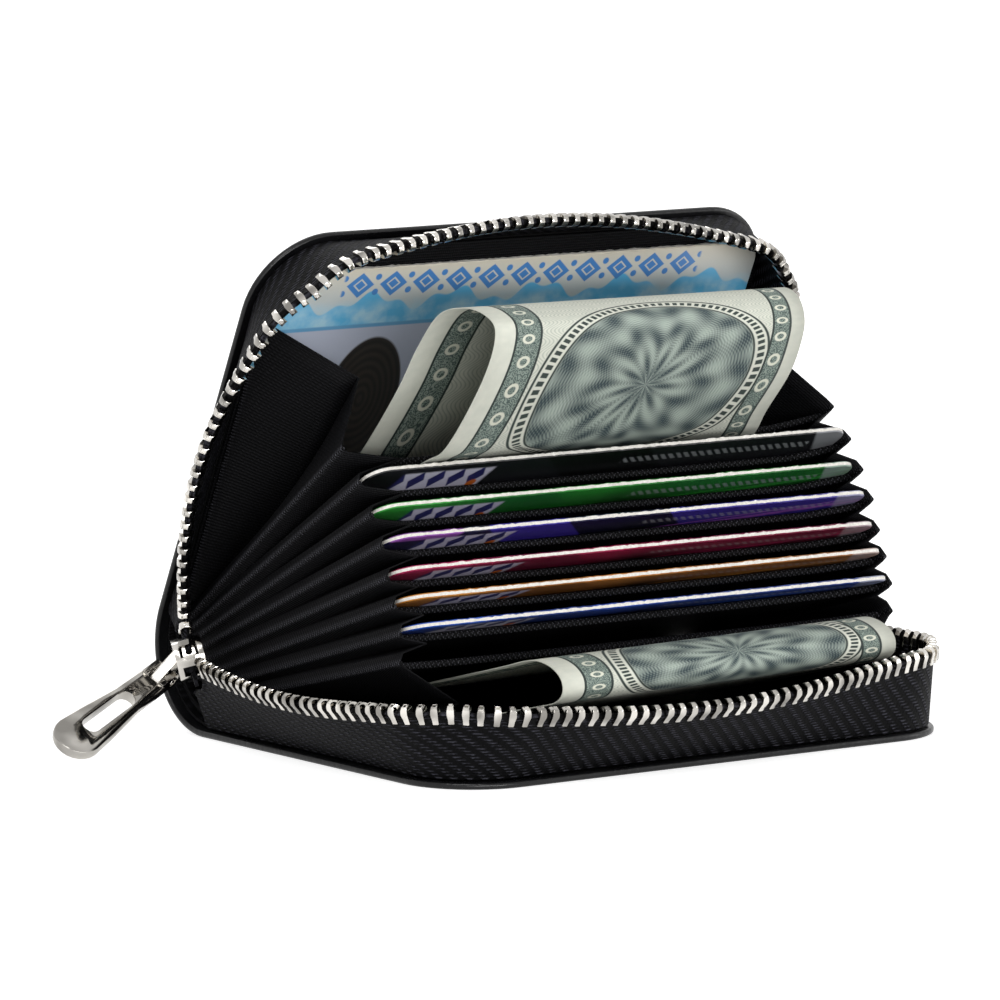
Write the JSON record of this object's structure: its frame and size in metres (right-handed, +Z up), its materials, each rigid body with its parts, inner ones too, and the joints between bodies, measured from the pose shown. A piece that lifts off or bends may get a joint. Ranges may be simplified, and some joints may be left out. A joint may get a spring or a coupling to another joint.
{
  "type": "card wallet",
  "caption": "Small zip-round leather card wallet, open to show accordion card pockets with plain cards and folded notes inside.",
  "frame": {"origin": "centre of the lower cover's underside, on the face that it rests on", "axes": "+X along the spine, away from the zip slider; +Y from the mouth to the spine; +Z up"},
  "size_m": [0.123, 0.0823, 0.0761],
  "materials": {
    "leather": "black fine-grained leather",
    "board": "plain grey stiffening board",
    "lining": "black ribbed cloth",
    "zip_tape": "black herringbone zip tape",
    "nickel": "polished nickel plate",
    "card_black": "gloss black card",
    "card_green": "gloss green card",
    "card_purple": "gloss indigo card",
    "card_maroon": "gloss maroon card",
    "card_brown": "gloss brown card",
    "card_navy": "gloss navy card",
    "id_card": "satin printed card",
    "note": "printed note paper"
  },
  "bodies": {
    "lower_half": {"lower_cover_leather": "leather", "lower_cover_board": "board", "lower_cover_lining": "lining", "lower_zip_tape": "zip_tape", "lower_zip_teeth": "nickel", "lower_zip_end_stop": "nickel", "spine_leather": "leather", "spine_lining": "lining", "accordion_base": "lining", "slider_body": "nickel", "zip_chain_end": "zip_tape", "zip_bottom_stop": "nickel", "left_gusset": "lining", "right_gusset": "lining"},
    "upper_half": {"upper_cover_leather": "leather", "upper_cover_board": "board", "upper_cover_lining": "lining", "upper_zip_tape": "zip_tape", "upper_zip_teeth": "nickel", "upper_zip_end_stop": "nickel", "id_card": "id_card"},
    "pull": {"pull_tab": "nickel", "pull_bar": "nickel"},
    "divider_1": {"divider_1": "lining"},
    "divider_2": {"divider_2": "lining"},
    "divider_3": {"divider_3": "lining"},
    "divider_4": {"divider_4": "lining"},
    "divider_5": {"divider_5": "lining"},
    "divider_6": {"divider_6": "lining"},
    "divider_7": {"divider_7": "lining"},
    "divider_8": {"divider_8": "lining"},
    "card_black": {"card_black": "card_black"},
    "card_green": {"card_green": "card_green"},
    "card_purple": {"card_purple": "card_purple"},
    "card_maroon": {"card_maroon": "card_maroon"},
    "card_brown": {"card_brown": "card_brown"},
    "card_navy": {"card_navy": "card_navy"},
    "banknote_upper": {"banknote_upper": "note"},
    "banknote_lower": {"banknote_lower": "note"}
  },
  "joints": [
    {"name": "cover_hinge", "type": "hinge", "parent": "lower_half", "child": "upper_half", "pos_m": [0, 0.03125, 0.0125], "axis": [-1, 0, 0], "range_deg": [-56, 0], "deforming": ["spine_leather", "spine_lining", "left_gusset", "right_gusset", "banknote_upper", "banknote_lower"]},
    {"name": "divider_1_hinge", "type": "hinge", "parent": "lower_half", "child": "divider_1", "pos_m": [0, 0.04018, 0.0145], "axis": [-1, 0, 0], "range_deg": [-30.15, 0.05]},
    {"name": "divider_2_hinge", "type": "hinge", "parent": "lower_half", "child": "divider_2", "pos_m": [0, 0.04039, 0.013], "axis": [-1, 0, 0], "range_deg": [-25.75, 0.05]},
    {"name": "divider_3_hinge", "type": "hinge", "parent": "lower_half", "child": "divider_3", "pos_m": [0, 0.04034, 0.0115], "axis": [-1, 0, 0], "range_deg": [-22.55, 0.05]},
    {"name": "divider_4_hinge", "type": "hinge", "parent": "lower_half", "child": "divider_4", "pos_m": [0, 0.04005, 0.01], "axis": [-1, 0, 0], "range_deg": [-19.95, 0.05]},
    {"name": "divider_5_hinge", "type": "hinge", "parent": "lower_half", "child": "divider_5", "pos_m": [0, 0.03948, 0.0085], "axis": [-1, 0, 0], "range_deg": [-17.65, 0.05]},
    {"name": "divider_6_hinge", "type": "hinge", "parent": "lower_half", "child": "divider_6", "pos_m": [0, 0.03856, 0.007], "axis": [-1, 0, 0], "range_deg": [-16.05, 0.05]},
    {"name": "divider_7_hinge", "type": "hinge", "parent": "lower_half", "child": "divider_7", "pos_m": [0, 0.03714, 0.0055], "axis": [-1, 0, 0], "range_deg": [-14.55, 0.05]},
    {"name": "divider_8_hinge", "type": "hinge", "parent": "lower_half", "child": "divider_8", "pos_m": [0, 0.03464, 0.004], "axis": [-1, 0, 0], "range_deg": [-13.35, 0.05]},
    {"name": "card_black_slide", "type": "slide", "parent": "divider_2", "child": "card_black", "axis": [0, -0.8572, 0.515], "range_m": [0, 0.045]},
    {"name": "card_green_slide", "type": "slide", "parent": "divider_3", "child": "card_green", "axis": [0, -0.891, 0.454], "range_m": [0, 0.045]},
    {"name": "card_purple_slide", "type": "slide", "parent": "divider_4", "child": "card_purple", "axis": [0, -0.9164, 0.4003], "range_m": [0, 0.045]},
    {"name": "card_maroon_slide", "type": "slide", "parent": "divider_5", "child": "card_maroon", "axis": [0, -0.9367, 0.3502], "range_m": [0, 0.045]},
    {"name": "card_brown_slide", "type": "slide", "parent": "divider_6", "child": "card_brown", "axis": [0, -0.9505, 0.3107], "range_m": [0, 0.045]},
    {"name": "card_navy_slide", "type": "slide", "parent": "divider_7", "child": "card_navy", "axis": [0, -0.9622, 0.2723], "range_m": [0, 0.045]},
    {"name": "banknote_upper_slide", "type": "slide", "parent": "divider_1", "child": "banknote_upper", "axis": [0, -0.807, 0.5906], "range_m": [0, 0.045]},
    {"name": "banknote_lower_slide", "type": "slide", "parent": "divider_8", "child": "banknote_lower", "axis": [0, -0.9711, 0.2385], "range_m": [0, 0.045]},
    {"name": "pull_hinge", "type": "hinge", "parent": "lower_half", "child": "pull", "pos_m": [-0.05306, 0.03072, 0.00992], "axis": [-0.4282, 0.7252, 0.5392], "range_deg": [0, 60]}
  ],
  "couplings": [
    {"joint": "divider_1_hinge", "follows": "cover_hinge", "ratio": 0.5375},
    {"joint": "divider_2_hinge", "follows": "cover_hinge", "ratio": 0.4589},
    {"joint": "divider_3_hinge", "follows": "cover_hinge", "ratio": 0.4018},
    {"joint": "divider_4_hinge", "follows": "cover_hinge", "ratio": 0.3554},
    {"joint": "divider_5_hinge", "follows": "cover_hinge", "ratio": 0.3143},
    {"joint": "divider_6_hinge", "follows": "cover_hinge", "ratio": 0.2857},
    {"joint": "divider_7_hinge", "follows": "cover_hinge", "ratio": 0.2589},
    {"joint": "divider_8_hinge", "follows": "cover_hinge", "ratio": 0.2375}
  ]
}
